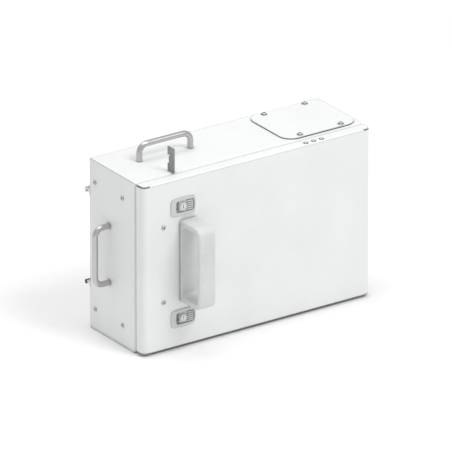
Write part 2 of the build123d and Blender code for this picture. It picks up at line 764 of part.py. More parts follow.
# ---------------------------------------------------------------- cell module
end_plate = 6
cell_pitch = cell_width + cell_gap
cells_left = -232
cells_right = cells_left + cell_count * cell_pitch - cell_gap
cells_front = -58
cells_back = cells_front + cell_depth
cells_middle = (cells_front + cells_back) / 2
cells_low = 6.5
cells_top = cells_low + cell_height
terminal_offset = 45
terminal_height = 2
busbar = 2
front_row = cells_middle - terminal_offset
back_row = cells_middle + terminal_offset
module_left = cells_left - end_plate
module_right = cells_right + end_plate
cell_centres = [cells_left + cell_width / 2 + index * cell_pitch for index in range(cell_count)]

with BuildPart() as module_tray:
    tray_low = (module_left - 2, cells_front - 4, sheet)
    tray_high = (module_right + 2, cells_back + 3, sheet + 2)
    block(tray_low, tray_high)
    block(tray_low, (tray_high[0], tray_low[1] + 2, 18))
    block((tray_low[0], tray_high[1] - 2, sheet), (tray_high[0], tray_high[1], 18))
module_tray.part.label = "module_tray"
export_step(module_tray.part, "parts/module_tray.step")

with BuildPart() as rubber_pads:
    for side in (-1, 1):
        x = side * wall_bracket_x
        block((x - 7, back + arm_end - 5, 81.5), (x + 7, back + arm_end, 89.5))
    fillet(edges().filter_by(Axis.X).group_by(Axis.Y)[-1], 2.5)
    for y in (cells_front + 8, cells_back - 28):
        block((module_left, y, sheet + 2), (module_right, y + 20, cells_low))
rubber_pads.part.label = "rubber_pads"
export_step(rubber_pads.part, "parts/rubber_pads.step")

with BuildPart() as battery_cells:
    for x in cell_centres:
        block((x - cell_width / 2, cells_front, cells_low), (x + cell_width / 2, cells_back, cells_top))
    fillet(edges().filter_by(Axis.Z), 2)
    for x in cell_centres:
        for y in (front_row, back_row):
            rod((x, y, cells_top), UP, 8, terminal_height)
battery_cells.part.label = "battery_cells"
export_step(battery_cells.part, "parts/battery_cells.step")

with BuildPart() as cell_spacers:
    for x in cell_centres[:-1]:
        face = x + cell_width / 2
        block((face, cells_front + 2, cells_low + 5), (face + cell_gap, cells_back - 2, cells_top - 5))
cell_spacers.part.label = "cell_spacers"
export_step(cell_spacers.part, "parts/cell_spacers.step")

with BuildPart() as module_end_plates:
    for low in (module_left, cells_right):
        block((low, cells_front, cells_low), (low + end_plate, cells_back, cells_top))
module_end_plates.part.label = "module_end_plates"
export_step(module_end_plates.part, "parts/module_end_plates.step")

band = 1
with BuildPart() as module_bands:
    for z in (54, 144):
        block((module_left - band, cells_front - band, z), (module_right + band, cells_back + band, z + 12))
        block((module_left, cells_front, z - 1), (module_right, cells_back, z + 13), mode=Mode.SUBTRACT)
module_bands.part.label = "module_bands"
export_step(module_bands.part, "parts/module_bands.step")

bar_low = cells_top + terminal_height
bar_high = bar_low + busbar
device_front = 28
device_height = 150
contactor_x = 120
contactor_studs = (105, 135)
fuse_studs = (174, 232)
stud_radius = 4
stud_reach = 16
strap = 3
with BuildPart() as busbars:
    for index, x in enumerate(cell_centres[:-1]):
        row = back_row if index % 2 == 0 else front_row
        block((x - 8, row - 10, bar_low), (x + cell_pitch + 8, row + 10, bar_high))
    # Link from the contactor to the fuse.
    block((contactor_studs[1] - 8, device_front - strap, 142), (fuse_studs[0] + 8, device_front, 158))
    for x in (contactor_studs[1], fuse_studs[0]):
        rod((x, device_front + 1, device_height), OUT_FRONT, stud_radius + hole_gap, 6, mode=Mode.SUBTRACT)
busbars.part.label = "busbars"
export_step(busbars.part, "parts/busbars.step")

with BuildPart() as busbar_screws:
    for x in cell_centres:
        for y in (front_row, back_row):
            rod((x, y, bar_high), UP, 7, 1)
            hexagon_bar((x, y, bar_high + 1), UP, 10, 4)
busbar_screws.part.label = "busbar_screws"
export_step(busbar_screws.part, "parts/busbar_screws.step")

lead_radius = 4.5
lead_axis = cells_top + 7
return_lane = 20
cover_wall = 1.5
module_cover_top = cells_top + 18.5
with BuildPart() as module_cover:
    block((module_left, cells_front, cells_top), (module_right, cells_back, module_cover_top))
    block(
        (module_left + cover_wall, cells_front + cover_wall, cells_top - 1),
        (module_right - cover_wall, cells_back - cover_wall, module_cover_top - cover_wall),
        mode=Mode.SUBTRACT,
    )
    for y in (front_row, return_lane):
        block(
            (module_right - 5, y - 6.5, cells_top - 1),
            (module_right + 1, y + 6.5, lead_axis + 7.5),
            mode=Mode.SUBTRACT,
        )
module_cover.part.label = "module_cover"
export_step(module_cover.part, "parts/module_cover.step")

# ---------------------------------------------------------------- battery management unit on its shelf
shelf_leg = 186
shelf_low = 240
shelf_high = shelf_low + sheet
with BuildPart() as bms_shelf:
    block((module_left - sheet, cells_front, shelf_leg), (module_right + sheet, cells_back, shelf_high))
    below_low = (module_left, cells_front - 1, shelf_leg - 1)
    block(below_low, (module_right, cells_back + 1, shelf_low), mode=Mode.SUBTRACT)
    for y in (front_row, return_lane):
        slot_high = (module_right + 3, y + 7, lead_axis + 8)
        block((module_right - 1, y - 7, shelf_leg - 1), slot_high, mode=Mode.SUBTRACT)
bms_shelf.part.label = "bms_shelf"
export_step(bms_shelf.part, "parts/bms_shelf.step")

unit_left = -200
unit_right = 0
unit_front = -45
unit_back = 60
unit_top = shelf_high + 30
with BuildPart() as bms_unit:
    block((unit_left, unit_front, shelf_high), (unit_right, unit_back, unit_top))
    fillet(edges().filter_by(Axis.Z), 3)
    block((unit_right - 1, -30, shelf_high + 5), (unit_right + 12, 30, shelf_high + 19))
bms_unit.part.label = "bms_unit"
export_step(bms_unit.part, "parts/bms_unit.step")

fin_count = 13
with BuildPart() as bms_heatsink:
    block((unit_left + 8, unit_front + 6, unit_top), (unit_right - 8, unit_back - 6, unit_top + 4))
    fin_pitch = (unit_back - unit_front - 12 - 2) / (fin_count - 1)
    for index in range(fin_count):
        y = unit_front + 6 + index * fin_pitch
        block((unit_left + 8, y, unit_top + 4), (unit_right - 8, y + 2, unit_top + 22))
bms_heatsink.part.label = "bms_heatsink"
export_step(bms_heatsink.part, "parts/bms_heatsink.step")

# ---------------------------------------------------------------- switchgear on the back panel
with BuildPart() as contactor:
    block((contactor_x - 30, device_front + 6, 120), (contactor_x + 30, inner_back, 180))
    fillet(edges().filter_by(Axis.Y), 6)
    block((contactor_x - 24, device_front, 140), (contactor_x + 24, device_front + 6, 160))
    for x in contactor_studs:
        rod((x, device_front, device_height), OUT_FRONT, stud_radius, stud_reach)
contactor.part.label = "contactor"
export_step(contactor.part, "parts/contactor.step")

with BuildPart() as fuse_holder:
    block((160, device_front + 14, 130), (244, inner_back, 170))
    for x in fuse_studs:
        block((x - 11, device_front, 136), (x + 11, device_front + 15, 164))
        rod((x, device_front, device_height), OUT_FRONT, stud_radius, stud_reach)
fuse_holder.part.label = "fuse_holder"
export_step(fuse_holder.part, "parts/fuse_holder.step")

fuse_plane = device_front - strap
with BuildPart() as fuse_link:
    block((fuse_studs[0] - 7, fuse_plane - 2, 143), (fuse_studs[1] + 7, fuse_plane, 157))
    rod((fuse_studs[0] + 13, fuse_plane - 1, device_height), OUT_RIGHT, 9, 34)
    for x in fuse_studs:
        rod((x, fuse_plane + 1, device_height), OUT_FRONT, stud_radius + hole_gap, 6, mode=Mode.SUBTRACT)
fuse_link.part.label = "fuse_link"
export_step(fuse_link.part, "parts/fuse_link.step")

# ---------------------------------------------------------------- output terminals below the service cover
block_low = 292
block_high = 308
terminal_y = return_lane
terminal_xs = (138, 184)
lug_low = block_high + 4
terminal_lead = lug_low + 6
with BuildPart() as terminal_block:
    block((108, terminal_y - 18, block_low), (214, inner_back, block_high))
    fillet(edges().filter_by(Axis.Z).group_by(Axis.Y)[0], 5)
    block((108, inner_back - 5, block_low - 30), (214, inner_back, block_low + 1))
    block((159, terminal_y - 18, block_high - 1), (163, inner_back - 12, block_high + 20))
terminal_block.part.label = "terminal_block"
export_step(terminal_block.part, "parts/terminal_block.step")

with BuildPart() as terminal_studs:
    for x in terminal_xs:
        rod((x, terminal_y, block_high), UP, stud_radius, 26)
        hexagon_bar((x, terminal_y, block_high), UP, 13, 4)
    for x in terminal_xs:
        hexagon_bar((x, terminal_y, lug_low + strap), UP, 13, 6.5)
terminal_studs.part.label = "terminal_studs"
export_step(terminal_studs.part, "parts/terminal_studs.step")

# ---------------------------------------------------------------- power leads, each with its two cable lugs
eye_radius = 8
barrel_radius = 5.5
barrel_length = 12


def cable(points, radii):
    """Round cable along straight runs joined by tangent arcs."""
    with BuildLine() as route:
        FilletPolyline(*points, radius=radii)
    direction = tuple(b - a for a, b in zip(points[0], points[1]))
    with BuildSketch(Plane(origin=points[0], z_dir=direction)) as section:
        Circle(lead_radius)
    sweep(section.sketch, path=route.wires()[0])


def cable_lug(eye, eye_normal, towards_cable, cable_start, thickness):
    """Flat ring on a stud, with a crimp barrel that ends where the cable starts."""
    side = Vector(*towards_cable)
    normal = Vector(*eye_normal)
    barrel_end = Vector(*cable_start)
    reach = (barrel_end - Vector(*eye)).dot(side) - barrel_length / 2
    with BuildSketch(Plane(origin=eye, x_dir=side, z_dir=normal)) as tongue:
        Circle(eye_radius)
        with Locations((reach / 2, 0)):
            Rectangle(reach, 2 * eye_radius - 4)
    extrude(tongue.sketch, amount=thickness)
    rod(tuple(barrel_end), tuple(side * -1), barrel_radius, barrel_length)
    rod(along(eye, eye_normal, -1), eye_normal, stud_radius + hole_gap, thickness + 2, mode=Mode.SUBTRACT)


lead_reach = 24
device_lead_y = device_front - 7
with BuildPart() as negative_lead:
    first = (cell_centres[0], front_row, bar_low)
    start = (cell_centres[0], front_row + lead_reach, lead_axis)
    end = (terminal_xs[0] - lead_reach, terminal_y, terminal_lead)
    corners = [
        start,
        (start[0], return_lane, lead_axis),
        (84, return_lane, lead_axis),
        (84, return_lane, terminal_lead),
        end,
    ]
    cable(corners, [14, 22, 28])
    cable_lug(first, UP, OUT_BACK, start, busbar)
    cable_lug((terminal_xs[0], terminal_y, lug_low), UP, OUT_LEFT, end, strap)
negative_lead.part.label = "negative_lead"
export_step(negative_lead.part, "parts/negative_lead.step")

with BuildPart() as positive_lead:
    first = (cell_centres[-1], front_row, bar_low)
    start = (cell_centres[-1] + lead_reach, front_row, lead_axis)
    end = (contactor_studs[0], device_lead_y, device_height + lead_reach)
    corners = [
        start,
        (contactor_studs[0], front_row, lead_axis),
        (contactor_studs[0], device_lead_y, lead_axis),
        end,
    ]
    cable(corners, [26, 26])
    cable_lug(first, UP, OUT_RIGHT, start, busbar)
    cable_lug((contactor_studs[0], device_front, device_height), OUT_FRONT, UP, end, strap)
positive_lead.part.label = "positive_lead"
export_step(positive_lead.part, "parts/positive_lead.step")

with BuildPart() as output_lead:
    start = (fuse_studs[1], device_lead_y - 2, device_height + lead_reach)
    end = (terminal_xs[1] + lead_reach - 2, terminal_y - 1, terminal_lead)
    corners = [start, (fuse_studs[1], terminal_y - 1, terminal_lead), end]
    cable(corners, [20])
    cable_lug((fuse_studs[1], device_front - strap - 2, device_height), OUT_FRONT, UP, start, strap)
    cable_lug((terminal_xs[1], terminal_y, lug_low), UP, OUT_RIGHT, end, strap)
output_lead.part.label = "output_lead"
export_step(output_lead.part, "parts/output_lead.step")
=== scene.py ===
"""Looks of the battery box: materials, detailed hardware, inner dressing, floor, lights and camera."""

import json
import math

import bmesh
import bpy
from mathutils import Matrix, Vector


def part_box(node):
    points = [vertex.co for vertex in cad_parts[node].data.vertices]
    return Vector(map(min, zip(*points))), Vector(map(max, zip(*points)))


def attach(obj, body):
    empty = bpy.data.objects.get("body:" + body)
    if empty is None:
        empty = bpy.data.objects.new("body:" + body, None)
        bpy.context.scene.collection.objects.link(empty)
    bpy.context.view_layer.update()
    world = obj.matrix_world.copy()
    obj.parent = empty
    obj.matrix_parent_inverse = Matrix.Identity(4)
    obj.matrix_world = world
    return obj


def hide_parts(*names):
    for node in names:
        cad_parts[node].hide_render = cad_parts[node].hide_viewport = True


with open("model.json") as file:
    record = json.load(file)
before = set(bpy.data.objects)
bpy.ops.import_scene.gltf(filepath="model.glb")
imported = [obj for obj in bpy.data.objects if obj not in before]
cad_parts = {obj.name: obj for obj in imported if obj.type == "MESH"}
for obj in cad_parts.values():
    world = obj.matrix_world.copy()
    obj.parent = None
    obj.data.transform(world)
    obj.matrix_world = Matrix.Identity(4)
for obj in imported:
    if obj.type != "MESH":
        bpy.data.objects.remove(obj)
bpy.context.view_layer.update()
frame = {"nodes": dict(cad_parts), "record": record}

MM = 0.001
case_low, case_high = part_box("body_shell")
case_centre = (case_low + case_high) / 2
AXES = (Vector((1, 0, 0)), Vector((0, 1, 0)), Vector((0, 0, 1)))


# ---------------------------------------------------------------- shader building
class Shader:
    """Principled material whose textures follow the object's own coordinates, in metres."""

    def __init__(self, name, colour, roughness, metallic=0.0):
        self.material = bpy.data.materials.new(name)
        self.material.use_nodes = True
        self.tree = self.material.node_tree
        self.surface = self.tree.nodes["Principled BSDF"]
        self.colour = (*colour, 1)
        self.set("Base Color", self.colour)
        self.set("Roughness", roughness)
        self.set("Metallic", metallic)
        self.place = self.node("ShaderNodeTexCoord").outputs["Object"]

    def set(self, socket, value):
        self.surface.inputs[socket].default_value = value

    def node(self, kind, **settings):
        made = self.tree.nodes.new(kind)
        for key, value in settings.items():
            setattr(made, key, value)
        return made

    def feed(self, socket, source):
        if isinstance(source, bpy.types.NodeSocket):
            self.tree.links.new(source, socket)
        else:
            socket.default_value = source

    def stretched(self, scale):
        """Coordinates scaled by a different amount along each axis."""
        mapping = self.node("ShaderNodeMapping")
        mapping.inputs["Scale"].default_value = scale
        self.feed(mapping.inputs["Vector"], self.place)
        return mapping.outputs["Vector"]

    def noise(self, scale, detail=3, stretch=None):
        """Noise value; scale is in features per metre."""
        noise = self.node("ShaderNodeTexNoise")
        noise.inputs["Scale"].default_value = scale
        noise.inputs["Detail"].default_value = detail
        self.feed(noise.inputs["Vector"], self.stretched(stretch) if stretch else self.place)
        return noise.outputs["Fac"]

    def cells(self, scale, output="Distance", feature="F1"):
        """Voronoi value; scale is in cells per metre."""
        voronoi = self.node("ShaderNodeTexVoronoi", feature=feature)
        voronoi.inputs["Scale"].default_value = scale
        self.feed(voronoi.inputs["Vector"], self.place)
        return voronoi.outputs[output]

    def span(self, value, start, end, low=0.0, high=1.0):
        """Value mapped from start..end to low..high, held at its ends."""
        mapped = self.node("ShaderNodeMapRange")
        for socket, source in zip(mapped.inputs, (value, start, end, low, high)):
            self.feed(socket, source)
        return mapped.outputs["Result"]

    def maths(self, operation, first, second):
        node = self.node("ShaderNodeMath", operation=operation)
        self.feed(node.inputs[0], first)
        self.feed(node.inputs[1], second)
        return node.outputs[0]

    def blend(self, factor, first, second):
        """Colour between two colours."""
        mix = self.node("ShaderNodeMix", data_type="RGBA")
        for index, source in ((0, factor), (6, first), (7, second)):
            self.feed(mix.inputs[index], source)
        return mix.outputs[2]

    def edges(self, radius, strength):
        """Mask along the part's edges, and the normal that rounds them."""
        bevel = self.node("ShaderNodeBevel", samples=8)
        bevel.inputs["Radius"].default_value = radius
        geometry = self.node("ShaderNodeNewGeometry")
        facing = self.node("ShaderNodeVectorMath", operation="DOT_PRODUCT")
        self.feed(facing.inputs[0], bevel.outputs["Normal"])
        self.feed(facing.inputs[1], geometry.outputs["Normal"])
        return self.span(facing.outputs["Value"], 0.985, 0.80, 0.0, strength), bevel.outputs["Normal"]

    def crevice_shade_mask(self, reach, strength):
        """Mask where other surfaces lie within reach, used to paint shade into crevices and seams."""
        hidden = self.node("ShaderNodeAmbientOcclusion", samples=8)
        hidden.inputs["Distance"].default_value = reach
        return self.span(hidden.outputs["AO"], 0.85, 0.25, 0.0, strength)

    def bump(self, height, strength, depth, normal=None):
        """Bump of a height map on the surface's normal, which it sets."""
        bump = self.node("ShaderNodeBump")
        bump.inputs["Strength"].default_value = strength
        bump.inputs["Distance"].default_value = depth
        self.feed(bump.inputs["Height"], height)
        if normal is not None:
            self.feed(bump.inputs["Normal"], normal)
        self.feed(self.surface.inputs["Normal"], bump.outputs["Normal"])
        return bump.outputs["Normal"]

    def paint(self, colour):
        self.feed(self.surface.inputs["Base Color"], colour)

    def gloss(self, value):
        self.feed(self.surface.inputs["Roughness"], value)


def shade(colour, factor):
    return (*(channel * factor for channel in colour[:3]), 1)


# ---------------------------------------------------------------- materials
def powder_coat(name, colour):
    """Fine-textured powder coat: orange peel, faint clouding, worn edges, and painted shade in the seams."""
    s = Shader(name, colour, 0.5)
    cloud = s.blend(s.span(s.noise(9, 4), 0.3, 0.7), shade(s.colour, 0.965), shade(s.colour, 1.02))
    speck = s.blend(s.span(s.noise(2600, 2), 0.55, 0.75, 0.0, 0.10), cloud, shade(s.colour, 0.6))
    edge, rounded = s.edges(2.8 * MM, 1.0)
    wear = s.maths("MULTIPLY", edge, s.span(s.noise(140, 3), 0.25, 0.55, 0.80, 1.0))
    edge_toned = s.blend(wear, speck, (0.17, 0.175, 0.18, 1))
    # Painted shade: near-black mixed in where other surfaces lie within 12 mm, darkening the seams.
    s.paint(s.blend(s.crevice_shade_mask(12 * MM, 0.8), edge_toned, (0.13, 0.13, 0.13, 1)))
    s.gloss(s.span(s.noise(420, 3), 0.3, 0.7, 0.40, 0.56))
    peel = s.maths("ADD", s.noise(520, 2), s.maths("MULTIPLY", s.noise(2100, 3), 0.6))
    s.bump(peel, 0.22, 0.12 * MM, rounded)
    s.set("Coat Weight", 0.12)
    s.set("Coat Roughness", 0.35)
    return s.material


def zinc_plate(name, colour):
    """Zinc-plated steel with a faint spangle."""
    s = Shader(name, colour, 0.35, 1.0)
    flake = s.cells(190, "Color")
    grey = s.node("ShaderNodeRGBToBW")
    s.feed(grey.inputs[0], flake)
    tone = s.blend(s.span(grey.outputs[0], 0.2, 0.8), shade(s.colour, 0.86), shade(s.colour, 1.06))
    edge, rounded = s.edges(0.6 * MM, 0.6)
    edge_toned = s.blend(edge, tone, shade(s.colour, 0.5))
    # Painted shade: near-black mixed into the crevices.
    s.paint(s.blend(s.crevice_shade_mask(4 * MM, 0.6), edge_toned, (0.10, 0.10, 0.10, 1)))
    s.gloss(s.span(grey.outputs[0], 0.1, 0.9, 0.26, 0.44))
    s.bump(s.noise(900, 3), 0.12, 0.05 * MM, rounded)
    return s.material


def satin_bar(name, colour, grain):
    """Satin stainless steel, ground across the bar; grain is the direction with the finest marks."""
    s = Shader(name, colour, 0.3, 1.0)
    stretch = tuple(1.0 if axis == grain else 0.05 for axis in "XYZ")
    lines = s.noise(5200, 3, stretch)
    tone = s.blend(lines, shade(s.colour, 0.86), shade(s.colour, 1.1))
    # Painted shade: near-black mixed into the crevices.
    s.paint(s.blend(s.crevice_shade_mask(5 * MM, 0.8), tone, (0.09, 0.09, 0.09, 1)))
    s.gloss(s.span(lines, 0.3, 0.7, 0.24, 0.40))
    s.bump(lines, 0.10, 0.03 * MM)
    return s.material


def machine_steel(name, colour, roughness):
    """Plated or stainless fasteners, with tool marks and painted shade in their recesses."""
    s = Shader(name, colour, roughness, 1.0)
    marks = s.noise(2400, 4)
    tone = s.blend(marks, shade(s.colour, 0.85), shade(s.colour, 1.08))
    # Painted shade: near-black mixed into the recesses.
    s.paint(s.blend(s.crevice_shade_mask(2.5 * MM, 0.85), tone, (0.03, 0.03, 0.03, 1)))
    s.gloss(s.span(marks, 0.3, 0.7, roughness * 0.8, roughness * 1.3))
    s.bump(marks, 0.08, 0.03 * MM)
    return s.material


def moulded(name, colour, roughness, grain=1500, edge_tone=0.72, depth=0.10, edge=0.7, shade_strength=0.7):
    """Moulded plastic or cast part with a spark-eroded grain, and painted shade in its crevices."""
    s = Shader(name, colour, roughness)
    pits = s.cells(grain)
    fine = s.noise(grain * 1.7, 3)
    tone = s.blend(s.span(s.noise(30, 3), 0.3, 0.7), shade(s.colour, 0.95), shade(s.colour, 1.04))
    rim, rounded = s.edges(edge * MM, 0.8)
    edge_toned = s.blend(rim, tone, shade(s.colour, edge_tone))
    # Painted shade: a dark copy of the colour mixed into the crevices.
    s.paint(s.blend(s.crevice_shade_mask(5 * MM, shade_strength), edge_toned, shade(s.colour, 0.12)))
    s.gloss(s.span(fine, 0.3, 0.7, roughness - 0.08, roughness + 0.10))
    s.bump(s.maths("ADD", pits, fine), 0.25, depth * MM, rounded)
    return s.material


def rubber(name, colour, bloom=0.06):
    """Matt rubber or foam with a dusty bloom."""
    s = Shader(name, colour, 0.8)
    dusty = s.blend(s.span(s.noise(160, 4), 0.45, 0.75), s.colour, (*(c + bloom for c in colour), 1))
    s.paint(dusty)
    s.gloss(s.span(s.noise(700, 3), 0.3, 0.7, 0.68, 0.9))
    s.bump(s.maths("ADD", s.noise(1800, 3), s.cells(900)), 0.35, 0.12 * MM)
    s.set("Sheen Weight", 0.15)
    return s.material


def cable_jacket(name, colour):
    """Flexible silicone cable, plain, with faint gloss bands from winding."""
    s = Shader(name, colour, 0.42)
    s.paint(s.blend(s.span(s.noise(60, 4), 0.3, 0.7), shade(s.colour, 0.8), shade(s.colour, 1.15)))
    s.gloss(s.span(s.noise(240, 3), 0.3, 0.7, 0.34, 0.52))
    s.bump(s.noise(1300, 3), 0.18, 0.08 * MM)
    return s.material


def shrink_film(name, colour):
    """Glossy film shrunk onto the cells, with long soft wrinkles."""
    s = Shader(name, colour, 0.25)
    mottle = s.span(s.noise(26, 4, (1, 1, 0.3)), 0.3, 0.7)
    s.paint(s.blend(mottle, shade(s.colour, 0.82), shade(s.colour, 1.12)))
    s.gloss(s.span(s.noise(90, 3), 0.3, 0.7, 0.18, 0.34))
    s.bump(s.noise(120, 3, (1, 1, 0.15)), 0.3, 0.25 * MM)
    s.set("Coat Weight", 0.4)
    s.set("Coat Roughness", 0.12)
    return s.material


def clear_plate(name, colour):
    """Clear polycarbonate cover with hairline scratches."""
    s = Shader(name, colour, 0.08)
    s.gloss(s.span(s.noise(700, 4, (1, 0.06, 1)), 0.5, 0.8, 0.05, 0.22))
    s.set("Alpha", 0.24)
    s.set("IOR", 1.58)
    s.set("Coat Weight", 0.3)
    return s.material


def frosted_lens(name, colour):
    """Frosted indicator lens, darker at its rim."""
    s = Shader(name, colour, 0.3)
    edge, rounded = s.edges(0.9 * MM, 0.9)
    s.paint(s.blend(edge, s.colour, shade(s.colour, 0.35)))
    s.gloss(s.span(s.noise(3000, 2), 0.3, 0.7, 0.22, 0.40))
    s.bump(s.cells(2600), 0.15, 0.05 * MM, rounded)
    s.set("Subsurface Weight", 0.15)
    s.set("Subsurface Radius", (2 * MM, 2 * MM, 2 * MM))
    return s.material


def solder_mask(name, colour):
    """Green board with lighter tracks and tinned pads."""
    s = Shader(name, colour, 0.32)
    tracks = s.span(s.cells(260, feature="DISTANCE_TO_EDGE"), 0.0, 0.08, 1.0, 0.0)
    pads = s.span(s.cells(420), 0.10, 0.16, 1.0, 0.0)
    s.paint(s.blend(pads, s.blend(tracks, s.colour, shade(s.colour, 1.9)), (0.62, 0.60, 0.52, 1)))
    s.gloss(s.span(s.noise(600, 2), 0.3, 0.7, 0.24, 0.40))
    s.bump(tracks, 0.2, 0.04 * MM)
    return s.material


def milled(name, colour, axis, roughness=0.32):
    """Milled or extruded metal with parallel tool lines along an axis, a painted highlight on its edges and
    painted shade in its crevices.
    """
    s = Shader(name, colour, roughness, 1.0)
    lines = s.noise(2600, 3, tuple(0.03 if a == axis else 1.0 for a in "XYZ"))
    edge, rounded = s.edges(0.6 * MM, 0.5)
    tone = s.blend(lines, shade(s.colour, 0.84), shade(s.colour, 1.08))
    # Painted highlight: edges painted lighter than the metal.
    edge_toned = s.blend(edge, tone, shade(s.colour, 1.25))
    # Painted shade: a dark copy of the colour mixed into the crevices.
    s.paint(s.blend(s.crevice_shade_mask(5 * MM, 0.6), edge_toned, shade(s.colour, 0.15)))
    s.gloss(s.span(lines, 0.3, 0.7, roughness * 0.8, roughness * 1.35))
    s.bump(lines, 0.10, 0.04 * MM, rounded)
    return s.material


white_coat = powder_coat("white_powder_coat", (0.75, 0.76, 0.76))
zinc = zinc_plate("zinc_plated_steel", (0.60, 0.62, 0.64))
bar_upright = satin_bar("satin_bar_upright", (0.52, 0.52, 0.515), "Z")
bar_level = satin_bar("satin_bar_level", (0.52, 0.52, 0.515), "X")
screw_steel = machine_steel("screw_steel", (0.50, 0.50, 0.51), 0.28)
plated = machine_steel("bright_plated", (0.70, 0.70, 0.70), 0.16)
nylon = moulded("light_grey_nylon", (0.60, 0.61, 0.61), 0.48, 1500, 0.5, 0.10, 3.0)
dark_rubber = rubber("black_rubber", (0.035, 0.035, 0.038), 0.03)
strap_rubber = rubber("grey_coated_steel", (0.24, 0.24, 0.245), 0.08)
cast = moulded("satin_casting", (0.56, 0.57, 0.57), 0.42, 1100, 0.35, 0.06, 1.3, 0.3)
slider_cast = moulded("grey_casting", (0.60, 0.61, 0.61), 0.40, 1100, 0.35, 0.06, 0.5, 0.25)
lens = frosted_lens("frosted_lens", (0.62, 0.64, 0.60))
board = solder_mask("solder_mask", (0.02, 0.12, 0.06))
film = shrink_film("blue_film", (0.035, 0.11, 0.34))
film_seam = shrink_film("film_seam", (0.025, 0.085, 0.28))
white_header = moulded("white_header", (0.70, 0.69, 0.64), 0.4, 1500, 0.8, 0.04)
gilt = machine_steel("gilt_pins", (0.80, 0.60, 0.28), 0.25)
black_moulding = moulded("black_moulding", (0.035, 0.035, 0.038), 0.45, 1300, 1.8, 0.08)
aluminium = milled("milled_aluminium", (0.66, 0.67, 0.68), "Z")
black_anodised = milled("black_anodised", (0.10, 0.10, 0.105), "X", 0.4)
copper = milled("copper_bar", (0.74, 0.36, 0.20), "X", 0.3)
clear = clear_plate("clear_polycarbonate", (0.85, 0.89, 0.92))
ceramic = moulded("fuse_ceramic", (0.72, 0.70, 0.64), 0.35, 900, 0.8, 0.03)
red_jacket = cable_jacket("red_jacket", (0.42, 0.025, 0.02))
black_jacket = cable_jacket("black_jacket", (0.022, 0.022, 0.024))

FINISH = {
    "powder_coat": white_coat,
    "zinc_steel": zinc,
    "stainless_bar": bar_level,
    "fastener": screw_steel,
    "handle_plastic": nylon,
    "black_rubber": dark_rubber,
    "latch_cast": cast,
    "latch_slider": slider_cast,
    "lock_chrome": plated,
    "indicator_lens": lens,
    "circuit_board": board,
    "cell_case": film,
    "insulation": black_moulding,
    "aluminium_plate": aluminium,
    "copper_bar": copper,
    "clear_cover": clear,
    "fuse_body": ceramic,
    "red_cable": red_jacket,
    "black_cable": black_jacket,
}
OWN_FINISH = {
    "side_handle": bar_upright,
    "tether_lug": strap_rubber,
    "led_bezels": black_moulding,
    "bms_heatsink": black_anodised,
}
slot_of = {part["node"]: part["material_slot"] for part in frame["record"]["subparts"]}
for node, obj in frame["nodes"].items():
    finish = OWN_FINISH.get(node, FINISH[slot_of[node]])
    if not obj.material_slots:
        obj.data.materials.append(finish)
    for material_slot in obj.material_slots:
        material_slot.material = finish


# ---------------------------------------------------------------- mesh building
def solids(node):
    """Lowest and highest corner of each separate solid of a CAD node, sorted from left to right."""
    bm = bmesh.new()
    bm.from_mesh(frame["nodes"][node].data)
    bmesh.ops.remove_doubles(bm, verts=bm.verts, dist=1e-6)
    waiting = set(bm.verts)
    boxes = []
    while waiting:
        stack = [waiting.pop()]
        points = []
        while stack:
            vert = stack.pop()
            points.append(vert.co.copy())
            near = [edge.other_vert(vert) for edge in vert.link_edges]
            fresh = [other for other in near if other in waiting]
            waiting.difference_update(fresh)
            stack.extend(fresh)
        boxes.append((Vector(map(min, zip(*points))), Vector(map(max, zip(*points)))))
    bm.free()
    return sorted(boxes, key=lambda box: [round(value, 5) for value in box[0]])


def stand(origin, direction):
    """Place whose Z runs along a direction from a point, with lengths in millimetres."""
    turn = Vector(direction).to_track_quat("Z", "Y").to_matrix().to_4x4()
    return Matrix.Translation(origin) @ turn @ Matrix.Scale(MM, 4)


def turned(bm, rings, place, ring_shaped=False, finish=0):
    """Turned form through rings of (radius, height), where a third item "hex" makes a ring six-sided."""
    segments = 36
    loops = []
    for radius, height, *form in rings:
        loop = []
        for index in range(segments):
            angle = math.tau * index / segments
            off_flat = (angle + math.pi / 6) % (math.pi / 3) - math.pi / 6
            reach = radius / math.cos(off_flat) if form else radius
            point = Vector((reach * math.cos(angle), reach * math.sin(angle), height))
            loop.append(bm.verts.new(place @ point))
        loops.append(loop)
    faces = []
    pairs = list(zip(loops, loops[1:]))
    if ring_shaped:
        pairs.append((loops[-1], loops[0]))
    else:
        faces += [bm.faces.new(loops[0][::-1]), bm.faces.new(loops[-1])]
    for low, high in pairs:
        for index in range(segments):
            after = (index + 1) % segments
            faces.append(bm.faces.new((low[index], low[after], high[after], high[index])))
    for face in faces:
        face.material_index = finish


def rounded_block(bm, centre, half, radius, finish=0, segments=3):
    """Box with rounded edges about a centre in metres, with half sizes and a radius in millimetres."""
    size = Vector(half) * 2 * MM
    verts = bmesh.ops.create_cube(bm, size=1)["verts"]
    for vert in verts:
        vert.co = centre + vert.co * size
    edges = list(dict.fromkeys(edge for vert in verts for edge in vert.link_edges))
    made = bmesh.ops.bevel(bm, geom=edges, offset=radius * MM, segments=segments, profile=0.5, affect="EDGES")
    for face in bm.faces:
        if face in made["faces"] or any(vert in made["verts"] for vert in face.verts):
            face.material_index = finish


def piece(name, bm, body, slot, *finishes, replaced=None):
    """Object made from a bmesh, which rides on a body and may stand for a CAD node."""
    bmesh.ops.recalc_face_normals(bm, faces=bm.faces)
    mesh = bpy.data.meshes.new(name)
    bm.to_mesh(mesh)
    bm.free()
    mesh.shade_smooth()
    mesh.set_sharp_from_angle(angle=math.radians(34))
    for finish in finishes:
        mesh.materials.append(finish)
    obj = bpy.data.objects.new(name, mesh)
    bpy.context.scene.collection.objects.link(obj)
    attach(obj, body)
    if replaced:
        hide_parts(replaced)
    return obj


